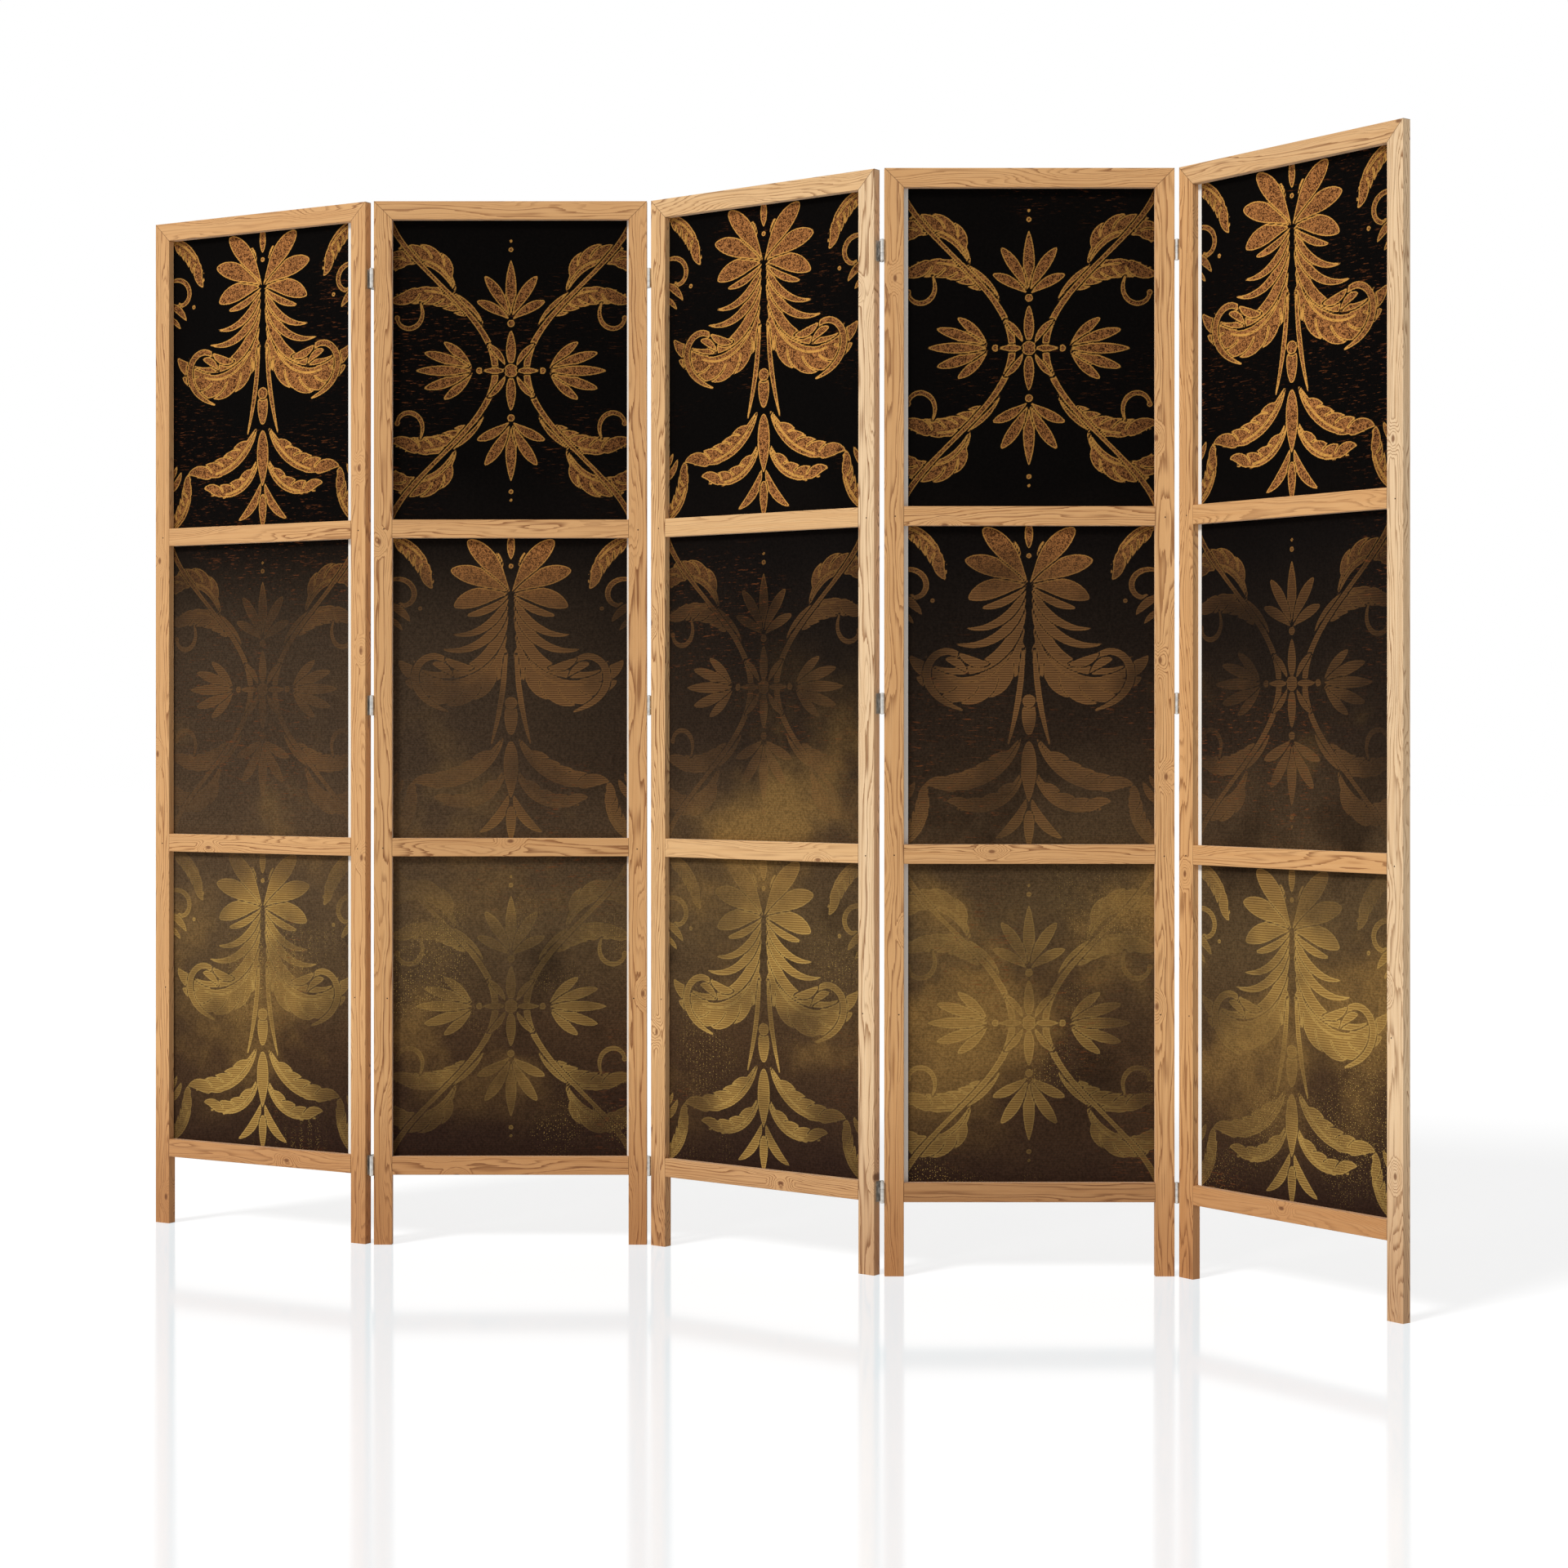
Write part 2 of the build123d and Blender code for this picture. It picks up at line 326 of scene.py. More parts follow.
def metal(name, shade, rough, rubbed):
    """Plated steel with a little clouding, and fine lines if it is rubbed."""
    material, n, shader = new_material(name)
    place = n.add("TexCoord").outputs["Object"]
    cloud = n.noise(place, 140.0, 3.0)
    lines = n.noise(n.stretch(place, 900, 900, 9000 if rubbed else 900), 1.0, 2.0)
    dull = tuple(part * 0.72 for part in shade[:3]) + (1,)
    n.feed(shader.inputs["Base Color"], n.mix(n.span(cloud, 0.35, 0.7), shade, dull))
    n.feed(shader.inputs["Roughness"], n.math("MULTIPLY_ADD", lines, 0.22, rough))
    n.feed(shader.inputs["Normal"], n.bump(lines, 0.00003, 0.5))
    shader.inputs["Metallic"].default_value = 1.0
    return material


NICKEL = metal("hinge_nickel", colour(206, 203, 197), 0.24, True)
PIN = metal("hinge_pin", colour(188, 184, 176), 0.18, False)
BRAD = metal("brad_steel", colour(66, 54, 44), 0.45, False)


def dress_hinges():
    for line in HINGE_LINES:
        for part in ("leaves_left", "leaves_right", "links"):
            dress(f"hinge_{line}_{part}", NICKEL)
        dress(f"hinge_{line}_pins", PIN)


# Ornament of the print: strokes laid over each other in a grid of distances

REACH = 8.0          # how far outside a shape its distance is worked out, mm
STEP = 3.0           # spine points are about this far apart, mm


class Pattern:
    """Distance to an ornament in millimetres, negative inside, over a grid of points."""

    def __init__(self, across, up):
        self.across = across
        self.up = up
        self.distance = np.full((len(up), len(across)), REACH)

    def away(self, spine, radii):
        """The part of the grid near a stroke, and the distance to it there."""
        low = spine.min(axis=0) - radii.max() - REACH
        high = spine.max(axis=0) + radii.max() + REACH
        columns = slice(*np.searchsorted(self.across, (low[0], high[0])))
        rows = slice(*np.searchsorted(self.up, (low[1], high[1])))
        across, up = np.meshgrid(self.across[columns], self.up[rows])
        nearest = np.full(across.shape, REACH)
        for (x0, z0), (x1, z1), r0, r1 in zip(spine, spine[1:], radii, radii[1:]):
            dx, dz = x1 - x0, z1 - z0
            share = np.clip(((across - x0) * dx + (up - z0) * dz) / (dx * dx + dz * dz), 0, 1)
            away = np.hypot(across - x0 - share * dx, up - z0 - share * dz)
            nearest = np.minimum(nearest, away - r0 - share * (r1 - r0))
        return (rows, columns), nearest

    def stroke(self, spine, radii, gap=2.2):
        """Lays a stroke over what is there, with a gap of ground round it."""
        window, nearest = self.away(spine, radii)
        old = self.distance[window]
        if gap:
            old = np.maximum(old, np.minimum(gap - nearest, REACH))
        self.distance[window] = np.minimum(old, nearest)

    def cut(self, spine, radii):
        """Cuts a line out of what is there."""
        window, nearest = self.away(spine, radii)
        self.distance[window] = np.maximum(self.distance[window], -nearest)


def curl(start, heading, length, turn=0.0, tighten=1.0):
    """A curve that turns by so many degrees, faster towards its end where tighten is above one."""
    count = max(int(length / STEP), 4)
    share = (np.arange(count) + 0.5) / count
    angle = np.radians(heading + turn * share ** tighten)
    steps = np.stack([np.cos(angle), np.sin(angle)], axis=1) * length / count
    return np.vstack([[start], np.array(start) + np.cumsum(steps, axis=0)])


def belly(spine, root, widest, tip, skew=1.0, fullness=0.8):
    """Half widths along a stroke: from its root, through its widest place, to its tip."""
    share = np.linspace(0, 1, len(spine))
    swell = np.sin(pi * share ** skew) ** fullness
    base = root * (1 - share) + tip * share
    return np.maximum(base + (widest - (root + tip) / 2) * swell, 0.3)


def petal(p, start, heading, length, width, turn=0.0, root=1.0, tip=0.8, skew=1.0, tighten=1.0, gap=2.2):
    spine = curl(start, heading, length, turn, tighten)
    p.stroke(spine, belly(spine, root, width, tip, skew), gap)


def ball(p, centre, radius, gap=2.2):
    p.stroke(np.array([centre, (centre[0] + 0.1, centre[1])]), np.array([radius, radius]), gap)


def scroll(p, start, heading, length, turn, width, tighten=1.8, end=5.0):
    """A stem that winds in on itself and ends in a ball."""
    spine = curl(start, heading, length, turn, tighten)
    p.stroke(spine, belly(spine, 1.5, width, width * 0.7, 0.9, 0.9))
    ball(p, tuple(spine[-1]), end, 0)


def acanthus(p, start, heading, length, turn, width, lobes, side, tighten=1.0):
    """A leaf whose lobes fan out on one side of its rib and overlap towards the tip."""
    rib = curl(start, heading, length, turn, tighten)
    count = len(rib) - 1
    for number in range(lobes):
        share = 0.22 + 0.66 * number / (lobes - 1)
        at = int(share * count)
        ahead = rib[at + 1] - rib[at]
        along = np.degrees(np.arctan2(ahead[1], ahead[0]))
        size = width * (0.62 + 0.6 * np.sin(pi * share) ** 0.7)
        petal(p, tuple(rib[at]), along + side * 38, size * 1.9, size * 0.42, turn=-side * 55,
              root=size * 0.2, tip=1.4, skew=0.75, gap=1.6 if number else 0)
    p.stroke(rib, belly(rib, 1.5, width * 0.34, 1.4, 0.8, 0.9), 0)
    vein = rib[: int(0.8 * count)]
    p.cut(vein, np.linspace(0.9, 0.3, len(vein)))


def medallion(p, z):
    """A tall palmette round z: a fan above, plumes that sweep out at the sides, a bell and leaves below."""
    petal(p, (0, z + 62), 90, 46, 6.5, root=0.5, tip=0.4, skew=0.9)
    ball(p, (0, z + 50), 4)
    petal(p, (13, z + 38), 84, 34, 3.6, root=0.6, tip=2, skew=1.2, turn=-20)
    petal(p, (4, z + 4), 4, 92, 15, turn=-34, tip=2, skew=1.35)
    petal(p, (4, z + 7), 34, 100, 15, turn=-26, tip=3, skew=1.5)
    petal(p, (2.5, z + 9), 62, 104, 15, turn=-22, tip=5, skew=1.6)
    acanthus(p, (9, z - 40), -84, 232, 152, 29, 6, -1, tighten=1.45)
    petal(p, (7, z - 20), -82, 205, 9, turn=108, skew=0.75, tighten=1.3)
    petal(p, (6, z - 8), -78, 150, 7.5, turn=92, skew=0.8, tighten=1.2)
    petal(p, (5, z - 2), -66, 118, 6.5, turn=74, skew=0.85, tighten=1.3)
    petal(p, (5, z + 1), -44, 74, 6.0, turn=36, tip=2, skew=1.2)
    scroll(p, (104, z - 190), 20, 158, 205, 6.0, tighten=1.7, end=6.5)
    petal(p, (62, z - 118), -4, 50, 7, turn=46, root=0.6)
    petal(p, (96, z - 132), 58, 40, 6, turn=-50, root=0.6, tip=1.6, skew=1.3)
    petal(p, (9, z - 96), -88, 150, 4.5, turn=14, tip=1.2, skew=0.8)
    petal(p, (0, z - 172), -90, 52, 11, root=3, tip=5, skew=0.9)
    ball(p, (0, z - 176), 10)
    acanthus(p, (14, z - 236), -62, 150, 66, 27, 5, 1, tighten=1.2)
    acanthus(p, (10, z - 286), -70, 126, 92, 22, 4, 1, tighten=1.2)
    petal(p, (0, z - 240), -90, 92, 12, tip=0.6, skew=0.8)
    petal(p, (5, z - 330), -78, 78, 8, turn=52)
    petal(p, (0, z - 348), -90, 58, 8, tip=0.6, skew=0.7)


def field_corners(p, z):
    """Foliage in the corners of a field, beside its medallion. z is the field's middle."""
    acanthus(p, (206, z + 250), 190, 96, 62, 23, 5, 1, tighten=1.1)
    scroll(p, (208, z + 176), 158, 96, 215, 4.5, tighten=1.5, end=5)
    petal(p, (206, z + 140), 196, 50, 6.5, turn=42)
    petal(p, (206, z + 118), 204, 34, 4.5, turn=30)
    ball(p, (150, z + 132), 3.6)
    acanthus(p, (206, z - 252), 150, 92, -58, 21, 5, -1, tighten=1.1)
    petal(p, (206, z - 186), 146, 46, 6, turn=-36)
    petal(p, (206, z - 166), 140, 32, 4.5, turn=-30)


OGEE_HALF = 285          # half the height of one swing of the stems, mm


def ogee(p, z):
    """Two stems that come together on the axis and part again, with what they carry."""
    rise = np.linspace(-OGEE_HALF, OGEE_HALF, 160)
    wave = np.cos(pi * rise / OGEE_HALF)
    stem = np.stack([26 + 91 * (1 - wave), z + rise], axis=1)
    for way in (1, -1):
        acanthus(p, (46, z + way * 74), way * 56, 150, -way * 74, 27, 6, -way, tighten=1.2)
        acanthus(p, (92, z + way * 132), way * 70, 128, -way * 120, 23, 5, way, tighten=1.3)
        scroll(p, (150, z + way * 112), way * -112, 84, way * 200, 4, tighten=1.4, end=4.5)
    p.stroke(stem, 3.4 + 2.2 * wave ** 2)
    for way in (1, -1):
        petal(p, (0, z + way * 96), way * 90, 86, 9, tip=0.5, skew=0.9)
        petal(p, (3, z + way * 92), way * 66, 74, 9, turn=-way * 16, tip=2, skew=1.3)
        petal(p, (4, z + way * 86), way * 40, 58, 8, turn=-way * 22, tip=2, skew=1.3)
        ball(p, (0, z + way * 78), 6)
        petal(p, (0, z + way * 14), way * 90, 50, 8, root=3, tip=2, skew=0.8)
        petal(p, (10, z + way * 10), way * 66, 44, 5, turn=-way * 30)
        ball(p, (0, z + way * 200), 4)
        ball(p, (0, z + way * 214), 2.6)
        petal(p, (64, z + way * 4), way * 52, 62, 7.5, turn=-way * 18, tip=2, skew=1.3)
        petal(p, (66, z + way * 3), way * 25, 80, 8.5, turn=-way * 12, tip=2, skew=1.3)
    ball(p, (0, z), 11)
    petal(p, (66, z), 0, 92, 8.5, tip=0.5, skew=1.1)
    ball(p, (52, z), 5.5)
    petal(p, (12, z), 0, 34, 5, skew=0.8)


FIELD_MIDDLES = (1442, 917, 392)      # mm
FIELD_HALF = 235                      # mm
MEDALLION_RISE = 152                  # from a field's middle to its medallion's, mm


def has_medallion(number, order):
    """Medallions and stems take turns, from field to field and from panel to panel."""
    return (order + number) % 2 == 1


def ornament(number, across, up):
    """Distances over half a panel."""
    pattern = Pattern(across, up)
    for order, middle in enumerate(FIELD_MIDDLES):
        if not has_medallion(number, order):
            ogee(pattern, middle)
    for order, middle in enumerate(FIELD_MIDDLES):
        if has_medallion(number, order):
            field_corners(pattern, middle)
            medallion(pattern, middle + MEDALLION_RISE)
    return pattern.distance


def ink_strength(number):
    """Heights in mm and how strong the ink is there: weaker round the stems than on the medallions."""
    heights, strengths = [], []
    for order, middle in reversed(list(enumerate(FIELD_MIDDLES))):
        strength = 1.0 if has_medallion(number, order) else 0.58
        heights += [middle - FIELD_HALF, middle + FIELD_HALF]
        strengths += [strength, strength]
    return heights, strengths


# Printed sheet

SHEET_LEFT, SHEET_LOW = 0.024, 0.139
SHEET_WIDTH, SHEET_LENGTH = 0.402, 1.557
SHEET_FRONT, SHEET_BACK = 0.01205, 0.01265       # from the panel's face
COLUMNS, ROWS = 155, 599                         # points of the front
BACK_ACROSS = (0.06, 0.39, 9)                    # points inside the back's rim: first, last, how many
BACK_UP = (0.18, 1.66, 33)
RIB_PITCH = 0.0036                               # of the cloth

# Where the print starts and ends, from the panel's left. Elsewhere it runs to both edges.
PRINT_ENDS = {1: (0, 0.4060), 2: (0, 0.4168), 4: (0.0370, 1), 5: (0.0372, 1)}

BRASS_GOLD = colour(206, 150, 74)
PAPER = colour(232, 229, 222)


def printed_material():
    """The printed face. The mesh carries the distance to the ornament and to the print's edge, in mm."""
    material, n, shader = new_material("printed_face")
    place = n.add("TexCoord").outputs["Object"]
    given = n.add("Attribute", attribute_name="ornament").outputs["Fac"]
    inside = n.add("Attribute", attribute_name="print_inside").outputs["Fac"]
    strength = n.add("Attribute", attribute_name="ink").outputs["Fac"]
    x, _, z = n.add("SeparateXYZ", {"Vector": place}).outputs
    wobble = n.math("MULTIPLY_ADD", n.noise(place, 420.0, 2.0), 1.6, -0.8)
    distance = n.math("ADD", given, wobble)
    drift = n.noise(n.stretch(place, 1, 1, 0.8), 2.6, 3.0)
    level = n.math("ADD", n.math("DIVIDE", z, PANEL_HEIGHT), n.math("MULTIPLY_ADD", drift, 0.16, -0.08))
    ground = n.ramp(level, [
        (0.09, colour(50, 35, 28)), (0.20, colour(76, 57, 40)), (0.31, colour(94, 76, 52)),
        (0.40, colour(78, 62, 45)), (0.47, colour(52, 41, 32)), (0.56, colour(34, 27, 22)),
        (0.66, colour(19, 15, 13)), (0.74, colour(8, 6, 5))])
    # golden haze low down, and dark clouds in it
    haze = n.noise(n.vector("ADD", place, (3.1, 0.4, 0)), 3.4, 4.0, 0.6)
    low_down = n.math("MULTIPLY", n.span(z, 0.14, 0.38), n.span(z, 1.02, 0.62))
    glow = n.math("MULTIPLY", n.span(haze, 0.48, 0.70), low_down)
    ground = n.mix(n.math("MULTIPLY", glow, 0.8), ground, colour(148, 116, 66))
    cloud = n.math("MULTIPLY", n.span(haze, 0.47, 0.33), low_down)
    ground = n.mix(n.math("MULTIPLY", cloud, 0.7), ground, colour(36, 27, 20))
    # the veil is thicker at the left end of the row, and nearly gone at the right
    veil = n.math("MULTIPLY", n.span(z, 1.20, 0.95), n.span(z, 0.3, 0.6))
    veil = n.math("MULTIPLY", n.span(x, 0.05, -0.75), veil)
    ground = n.mix(n.math("MULTIPLY", veil, 0.45), ground, colour(98, 80, 62))
    fine = n.noise(place, 260.0, 4.0, 0.7)
    ground = n.mix(n.span(fine, 0.3, 0.7, 0.0, 0.5), ground, colour(10, 7, 5), "MULTIPLY")
    # ribs across the cloth, which grow weak towards the top
    rib_place = n.math("MULTIPLY_ADD", n.noise(n.stretch(place, 14, 14, 40), 1.0, 2.0), 4.0,
                       n.math("MULTIPLY", z, 2 * pi / RIB_PITCH))
    rib = n.math("MULTIPLY_ADD", n.math("SINE", rib_place), 0.5, 0.5)
    ribbed = n.math("MULTIPLY", rib, n.span(z, 1.35, 0.85, 0.0, 1.0))
    ground = n.mix(n.math("MULTIPLY", ribbed, 0.30), ground, colour(176, 140, 82), "OVERLAY")
    # leather-like grain inside the ornament above, ribs below
    grain = n.span(n.noise(place, 330.0, 1.0, 0.5, 1.6), 0.42, 0.56)
    copper = n.mix(grain, colour(66, 36, 18), colour(176, 116, 64))
    bronze = n.mix(ribbed, colour(84, 56, 32), colour(132, 94, 56))
    gold = n.mix(ribbed, colour(132, 98, 48), colour(186, 148, 80))
    upper = n.span(z, 1.02, 1.20)
    lower = n.span(z, 0.74, 0.50)
    fill = n.mix(upper, n.mix(lower, bronze, gold), copper)
    rim = n.mix(upper, n.mix(lower, colour(128, 90, 50), colour(206, 168, 92)), BRASS_GOLD)
    shape = n.span(distance, 0.5, -0.5)
    edge = n.math("MULTIPLY", shape, n.span(distance, -1.9, -1.1))
    edge = n.math("MULTIPLY", edge, n.mix(upper, (0.55, 0.55, 0.55, 1), (1, 1, 1, 1)))
    ink = n.mix(edge, fill, rim)
    # worn ink: patches low down, dry brush marks everywhere
    worn = n.span(n.noise(n.vector("ADD", place, (0.7, 0, 1.3)), 5.2, 3.0), 0.36, 0.62)
    held = n.mix(upper, n.math("MULTIPLY_ADD", worn, 0.62, 0.16),
                 n.math("MULTIPLY_ADD", worn, 0.12, 0.88))
    brush = n.noise(n.stretch(place, 55, 55, 420), 1.0, 4.0, 0.7)
    held = n.math("MULTIPLY", held, n.span(brush, 0.30, 0.42, 0.45, 1.0))
    held = n.math("MULTIPLY", held, strength)
    printed = n.mix(n.math("MULTIPLY", shape, held), ground, ink)
    marks = n.math("MULTIPLY", n.span(brush, 0.58, 0.68),
                   n.span(n.noise(n.vector("ADD", place, (8.2, 0, 0)), 3.0, 2.0), 0.5, 0.68))
    printed = n.mix(n.math("MULTIPLY", marks, 0.75), printed, colour(112, 62, 32))
    # gold flecks in the print, with painted glints: the flecks are painted brighter than the gold
    grains = n.add("TexVoronoi", {"Vector": place, "Scale": 640.0})
    lot = n.add("SeparateColor", {"Color": grains.outputs["Color"]}).outputs[1]
    bright = n.math("GREATER_THAN", lot, 0.80)
    glinting_flecks = n.math("MULTIPLY", bright, n.span(grains.outputs["Distance"], 0.42, 0.2))
    patch = n.span(n.noise(n.vector("ADD", place, (2.3, 0, 5.1)), 4.0, 3.0), 0.50, 0.66)
    glinting_flecks = n.math("MULTIPLY", glinting_flecks, n.math("MULTIPLY", patch, n.span(z, 0.75, 0.40)))
    printed = n.mix(n.math("MULTIPLY", glinting_flecks, 0.75), printed, colour(214, 176, 96))
    n.feed(shader.inputs["Base Color"], n.mix(n.span(inside, -0.2, 0.2), PAPER, printed))
    cloth = n.noise(place, 1500.0, 2.0)
    n.feed(shader.inputs["Roughness"], n.math("MULTIPLY_ADD", cloth, 0.16, 0.68))
    n.feed(shader.inputs["Normal"], n.bump(cloth, 0.00008, 0.5))
    shader.inputs["Specular IOR Level"].default_value = 0.02
    return material


def reverse_material():
    """The unprinted back of the cloth: pressed fibres, and a little ink that came through."""
    material, n, shader = new_material("sheet_reverse")
    place = n.add("TexCoord").outputs["Object"]
    fibres = n.noise(place, 700.0, 4.0, 0.7, 0.8)
    through = n.noise(place, 5.0, 4.0)
    shade = n.mix(n.span(fibres, 0.3, 0.7, 0.0, 1.0), colour(214, 209, 199), colour(236, 233, 226))
    shade = n.mix(n.span(through, 0.40, 0.75, 0.0, 0.14), shade, colour(196, 186, 170))
    n.feed(shader.inputs["Base Color"], shade)
    n.feed(shader.inputs["Roughness"], n.math("MULTIPLY_ADD", fibres, 0.15, 0.78))
    n.feed(shader.inputs["Normal"], n.bump(fibres, 0.0001, 0.6))
    shader.inputs["Specular IOR Level"].default_value = 0.15
    return material


PRINTED = printed_material()
REVERSE = reverse_material()


def rim_loop(columns, rows):
    """The grid's border as vertex numbers, once round."""
    grid = np.arange(columns * rows).reshape(rows, columns)
    return np.concatenate([grid[0, :-1], grid[:-1, -1], grid[-1, :0:-1], grid[:0:-1, 0]])


def coarse_back(across, up, loop):
    """Points of the back, the rim's first, and the triangles between them."""
    inner_x, inner_z = np.meshgrid(np.linspace(*BACK_ACROSS), np.linspace(*BACK_UP))
    flat = np.concatenate([np.stack([across[loop], up[loop]], axis=1),
                           np.stack([inner_x.ravel(), inner_z.ravel()], axis=1)])
    count = len(loop)
    edges = [(i, (i + 1) % count) for i in range(count)]
    _, _, triangles, order, _, _ = delaunay_2d_cdt([Vector(point) for point in flat], edges, [], 1, 1e-7)
    own = [held[0] if held else 0 for held in order]
    return flat, [[own[i] for i in reversed(triangle)] for triangle in triangles]


def mark_print(mesh, number, x, z):
    """Writes on the front's points the ornament, how far inside the print they are and the ink's strength."""
    across, up = (part.ravel() for part in np.meshgrid(x, z))
    half = COLUMNS // 2
    distances = ornament(number, (x[half:] - x[half]) * MM, z * MM)
    whole = np.concatenate([distances[:, :0:-1], distances], axis=1).ravel()
    left, right = PRINT_ENDS.get(number, (0, 1))
    inside = np.minimum(across - left, right - across) * MM
    off_axis = np.abs(across - PANEL_WIDTH / 2) * MM
    ink = np.interp(up * MM, *ink_strength(number)) * np.interp(off_axis, (110, 180), (1.0, 0.62))
    unprinted = np.full(len(mesh.vertices) - len(across), REACH)
    for attribute, values in (("ornament", whole), ("print_inside", inside), ("ink", ink)):
        layer = mesh.attributes.new(attribute, "FLOAT", "POINT")
        layer.data.foreach_set("value", np.concatenate([values, unprinted]).astype(np.float32))


def make_sheet(number):
    """The stretched sheet: a fine front that carries the ornament, a rim, and a coarse back."""
    x = np.linspace(SHEET_LEFT, SHEET_LEFT + SHEET_WIDTH, COLUMNS)
    z = np.linspace(SHEET_LOW, SHEET_LOW + SHEET_LENGTH, ROWS)
    across, up = (part.ravel() for part in np.meshgrid(x, z))
    loop = rim_loop(COLUMNS, ROWS)
    flat, triangles = coarse_back(across, up, loop)
    points = [on_panel(number, a, SHEET_FRONT, b) for a, b in zip(across, up)]
    points += [on_panel(number, a, SHEET_BACK, b) for a, b in flat]
    first_back = len(across)
    grid = np.arange(first_back).reshape(ROWS, COLUMNS)
    front = np.stack([grid[:-1, :-1], grid[:-1, 1:], grid[1:, 1:], grid[1:, :-1]], axis=-1).reshape(-1, 4)
    faces = front.tolist()
    count = len(loop)
    for i in range(count):
        j = (i + 1) % count
        faces.append([int(loop[i]), first_back + i, first_back + j, int(loop[j])])
    faces += [[first_back + i for i in triangle] for triangle in triangles]
    name = f"panel_{number}_print"
    mesh = bpy.data.meshes.new(name)
    mesh.from_pydata(points, [], faces)
    mesh.materials.append(PRINTED)
    mesh.materials.append(REVERSE)
    slots = np.ones(len(faces), np.int32)
    slots[:len(front)] = 0
    mesh.polygons.foreach_set("material_index", slots)
    mark_print(mesh, number, x, z)
    mesh.validate()
    piece = new_object(name, mesh)
    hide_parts(f"panel_{number}_sheet")
    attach(piece, f"panel_{number}")
    piece.visible_glossy = False          # the photo's floor reflects the frames alone


# Screws and brads

def turned(profile, sides):
    """Points and faces of a profile of (radius, height) turned about its axis, open below."""
    points = [(r * cos(2 * pi * k / sides), r * sin(2 * pi * k / sides), h)
              for r, h in profile[:-1] for k in range(sides)]
    points.append((0, 0, profile[-1][1]))
    faces = []
    for ring in range(len(profile) - 2):
        for k in range(sides):
            m = (k + 1) % sides
            faces.append([ring * sides + k, ring * sides + m, (ring + 1) * sides + m, (ring + 1) * sides + k])
    last = (len(profile) - 2) * sides
    faces += [[last + k, last + (k + 1) % sides, len(points) - 1] for k in range(sides)]
    faces.append(list(reversed(range(sides))))
    return points, faces


SCREW = turned([(0.00215, -0.0009), (0.00245, -0.00002), (0.00235, 0.00010), (0.00150, 0.00016),
                (0.00085, 0.00017), (0.00070, -0.00035), (0, -0.00060)], 20)
BRAD_HEAD = turned([(0.00115, -0.0012), (0.00115, 0.00002), (0.00090, 0.00010), (0, 0.00014)], 14)


def scatter(name, shape, spots, material, body):
    """One piece made of the same small shape at many spots. A spot is a point and an outward direction."""
    points, faces = [], []
    for place, out in spots:
        side = Vector((0, 0, 1)) if abs(out.z) < 0.5 else Vector((1, 0, 0))
        other = out.cross(side)
        start = len(points)
        points += [place + side * x + other * y + out * h for x, y, h in shape[0]]
        faces += [[start + i for i in reversed(face)] for face in shape[1]]
    mesh = bpy.data.meshes.new(name)
    mesh.from_pydata(points, [], faces)
    mesh.materials.append(material)
    mesh.polygons.foreach_set("use_smooth", [True] * len(faces))
    piece = new_object(name, mesh)
    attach(piece, body)


LEAF_FACE = GAP / 2 - 0.00205       # how far a leaf's face stands off the panel's edge
SCREW_DROP = 0.0102                 # screws above and below a hinge's middle
FRONT_LEAF, BACK_LEAF = 0.0067, 0.0093      # middles of the leaves on the front and the back pin


def add_screws(number):
    """Two screws in every leaf on this panel's edges."""
    along = PLACES[number][1]
    spots = []
    for edge, x in ((number - 1, -LEAF_FACE), (number, PANEL_WIDTH + LEAF_FACE)):
        if not 1 <= edge <= len(HINGE_LINES):
            continue
        out = along if x > 0 else -along
        depth = BACK_LEAF if (edge % 2 == 1) == (x > 0) else FRONT_LEAF
        for height in HINGE_HEIGHTS:
            for way in (-1, 1):
                spots.append((on_panel(number, x, depth, height + way * SCREW_DROP), out))
    scatter(f"panel_{number}_screws", SCREW, spots, NICKEL, f"panel_{number}")


BRAD_PLACES = ((0.4355, 1.178), (0.0165, 1.1795), (0.4340, 0.652), (0.0150, 0.6535),
               (0.4284, 0.406), (0.0222, 0.406))      # across a panel and up


def add_brads(number):
    """Brad heads in the stiles."""
    out = -PLACES[number][2]
    spots = [(on_panel(number, x, 0, z), out) for x, z in BRAD_PLACES]
    scatter(f"panel_{number}_brads", BRAD_HEAD, spots, BRAD, f"panel_{number}")


for panel in PANELS:
    dress_timber(panel)
    make_sheet(panel)
    add_screws(panel)
    add_brads(panel)
dress_hinges()


# Floor, light and camera

FLOOR_HALF = 30.0
FLOOR_DIFFUSE = 0.336
FLOOR_GLOW = 0.736          # what the shine and the glow under it add up to

# The shine is warm and the glow under it is cool: white stays white, and pine is reflected as grey.
FLOOR_SHINE = (0.31, 0.225, 0.19)
SHINE_ROUGHNESS = 0.09

BOUNCED_FLOOR = 0.8         # how the part sees the floor
BOUNCED_SKY = 0.48          # and the sky, which is white to the camera


def looked_at(n):
    """1 for rays that come from the camera, by a mirror or not, and 0 for bounced light."""
    path = n.add("LightPath").outputs
    return n.math("MAXIMUM", path["Is Camera Ray"],
                  n.math("MAXIMUM", path["Is Glossy Ray"], path["Is Transmission Ray"]))


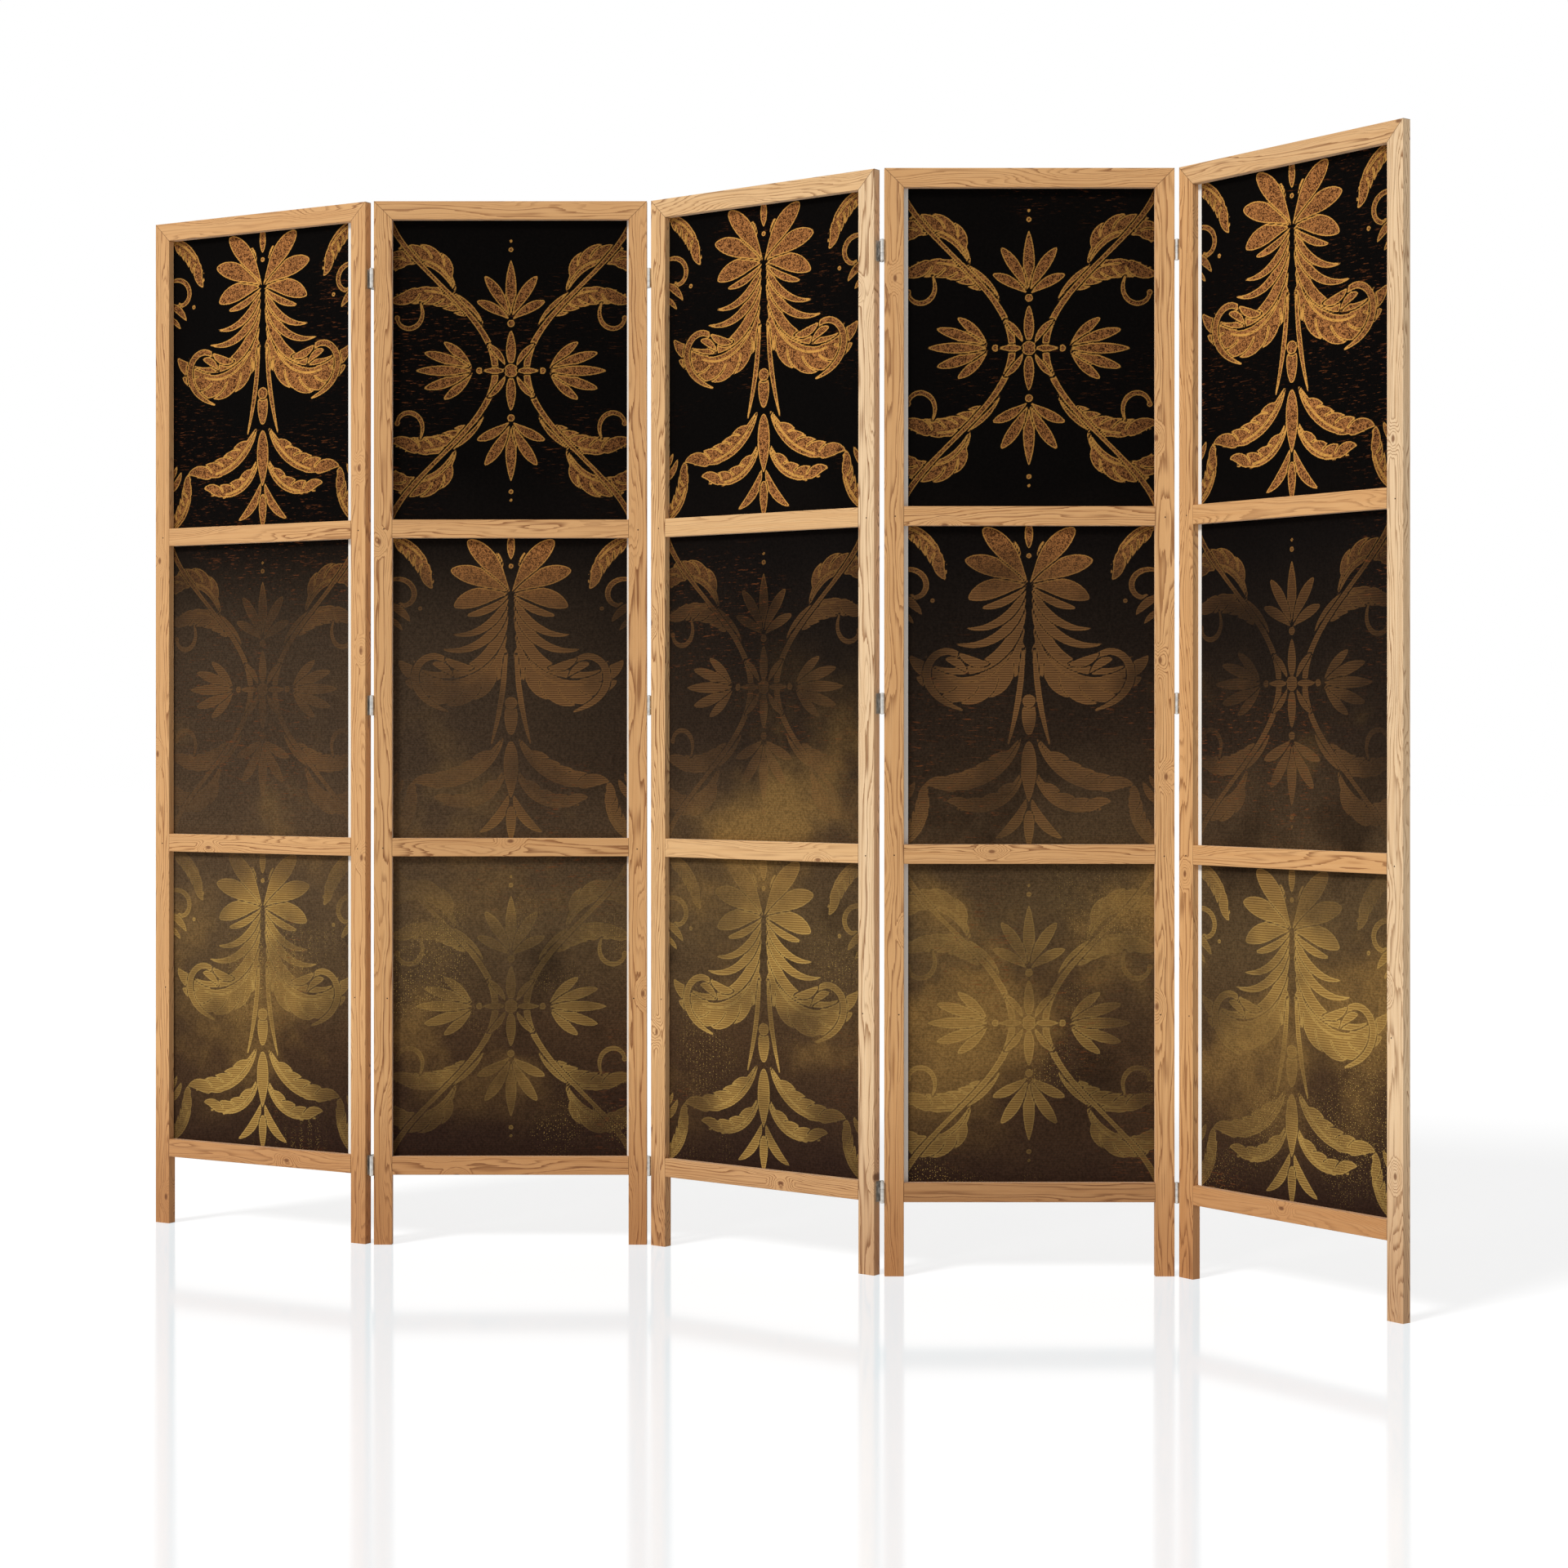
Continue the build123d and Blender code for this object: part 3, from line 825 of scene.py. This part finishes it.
def make_floor():
    """A white floor that shows soft shadows and a faint reflection."""
    size = FLOOR_HALF
    mesh = bpy.data.meshes.new("floor")
    mesh.from_pydata([(-size, -size, 0), (size, -size, 0), (size, size, 0), (-size, size, 0)], [],
                     [(0, 1, 2, 3)])
    material = bpy.data.materials.new("pale_floor")
    n = bare_nodes(material)
    plain = n.add("BsdfDiffuse", {"Color": (BOUNCED_FLOOR,) * 3 + (1,)}).outputs[0]
    lit = n.add("BsdfDiffuse", {"Color": (FLOOR_DIFFUSE,) * 3 + (1,)}).outputs[0]
    glow = n.add("Emission", {"Color": tuple(FLOOR_GLOW - part for part in FLOOR_SHINE) + (1,),
                              "Strength": 1.0}).outputs[0]
    shine = n.add("BsdfGlossy", {"Color": (*FLOOR_SHINE, 1), "Roughness": SHINE_ROUGHNESS}).outputs[0]
    both = n.add("AddShader")
    polished = n.add("AddShader")
    chosen = n.add("MixShader", {"Fac": looked_at(n)})
    for socket, shader in ((both.inputs[0], lit), (both.inputs[1], glow),
                           (polished.inputs[0], both.outputs[0]), (polished.inputs[1], shine),
                           (chosen.inputs[1], plain), (chosen.inputs[2], polished.outputs[0])):
        n.feed(socket, shader)
    n.add("OutputMaterial", {"Surface": chosen.outputs[0]})
    mesh.materials.append(material)
    new_object("floor", mesh)


def make_world():
    world = bpy.data.worlds.new("studio")
    n = bare_nodes(world)
    strength = n.math("MULTIPLY_ADD", looked_at(n), 1 - BOUNCED_SKY, BOUNCED_SKY)
    back = n.add("Background", {"Color": (1, 1, 1, 1), "Strength": strength}).outputs[0]
    n.add("OutputWorld", {"Surface": back})
    bpy.context.scene.world = world


def lamp(name, azimuth, elevation, spread, strength):
    """A broad distant lamp. Azimuth 0 is straight in front, and a strength of 1 renders white as white."""
    level = cos(radians(elevation))
    out = Vector((sin(radians(azimuth)) * level, -cos(radians(azimuth)) * level, sin(radians(elevation))))
    light = bpy.data.lights.new(name, "SUN")
    light.angle = radians(spread)
    light.energy = strength * pi
    piece = new_object(name, light)
    piece.location = out * 6
    piece.rotation_euler = (-out).to_track_quat("-Z", "Y").to_euler()


def make_camera():
    """Fitted to the corners of the five panels in the photograph."""
    camera = bpy.data.cameras.new("camera")
    camera.sensor_width = 36.0
    camera.lens = 66.39
    camera.shift_y = -0.0312
    piece = new_object("camera", camera)
    piece.location = (1.9312, -4.2234, 0.8399)
    piece.rotation_euler = (radians(90), 0, radians(23.86))
    bpy.context.scene.camera = piece


make_floor()
make_world()
lamp("key", -22.0, 38.0, 16.0, 0.72)
make_camera()
bpy.context.scene.view_settings.view_transform = "Standard"
